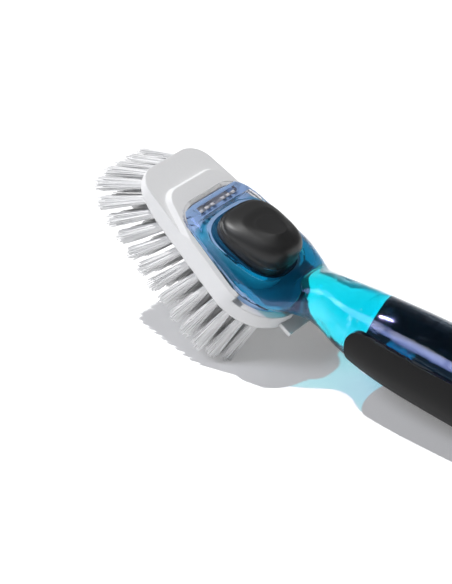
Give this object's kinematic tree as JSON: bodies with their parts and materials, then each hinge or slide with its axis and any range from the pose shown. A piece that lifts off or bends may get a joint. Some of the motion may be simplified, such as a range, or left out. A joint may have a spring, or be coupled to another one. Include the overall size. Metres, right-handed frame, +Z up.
{
  "type": "dish wand",
  "caption": "Soap dispensing dish wand: clear soap-filled handle with dark soft grip, thumb pump button, snap-off fanned brush head and screw cap with a hanging eye.",
  "frame": {"origin": "middle of the bounding box, at the table that the wand rests on", "axes": "+X from the brush to the handle's end, +Z up from the table, the wand's middle plane is XZ"},
  "size_m": [0.2896, 0.0523, 0.063],
  "materials": {
    "clear_plastic": "clear moulded plastic with a faint violet tint",
    "soap": "blue dish soap",
    "black_rubber": "satin soft-touch rubber",
    "silicone": "translucent silicone",
    "grey_plastic": "moulded plastic",
    "spring_steel": "drawn stainless wire",
    "white_plastic": "satin white moulding",
    "nylon": "nylon filament",
    "black_plastic": "satin black moulding"
  },
  "bodies": {
    "handle": {"handle_shell": "clear_plastic", "base_plate": "clear_plastic", "soap_fill": "soap", "grip": "black_rubber", "outlet_valve": "silicone", "valve_retainer": "grey_plastic", "return_spring": "spring_steel"},
    "button": {"button_pad": "black_rubber", "button_core": "grey_plastic", "piston_seal": "silicone"},
    "brush": {"brush_block": "white_plastic", "tufts_heel": "nylon", "tufts_outer": "nylon", "tufts_middle": "nylon", "tufts_inner": "nylon", "tuft_anchors": "spring_steel"},
    "latch": {"release_latch": "white_plastic"},
    "cap_slide": {"cap_gasket": "silicone"},
    "cap": {"cap_cover": "black_plastic", "cap_plug": "grey_plastic"}
  },
  "joints": [
    {"name": "button_press", "type": "slide", "parent": "handle", "child": "button", "axis": [-0.5107, 0, -0.8598], "range_m": [0, 0.0032], "stiffness_N_per_m": 900, "springref_m": -0.002, "deforming": ["return_spring"]},
    {"name": "brush_pull", "type": "slide", "parent": "handle", "child": "brush", "axis": [-0.5107, 0, -0.8598], "range_m": [0, 0.03]},
    {"name": "latch_flex", "type": "hinge", "parent": "brush", "child": "latch", "pos_m": [-0.06294, 0, 0.02239], "axis": [0, 1, 0], "range_deg": [0, 10], "stiffness_Nm_per_rad": 0.4, "springref_deg": -5.73},
    {"name": "cap_travel", "type": "slide", "parent": "handle", "child": "cap_slide", "axis": [0.9962, 0, -0.0873], "range_m": [0, 0.016]},
    {"name": "cap_turn", "type": "hinge", "parent": "cap_slide", "child": "cap", "pos_m": [0.11635, 0, 0.01428], "axis": [0.9962, 0, -0.0873], "range_deg": [0, 1440.1]}
  ],
  "couplings": [
    {"joint": "cap_turn", "follows": "cap_travel", "rad_per_m": 1570.8}
  ]
}
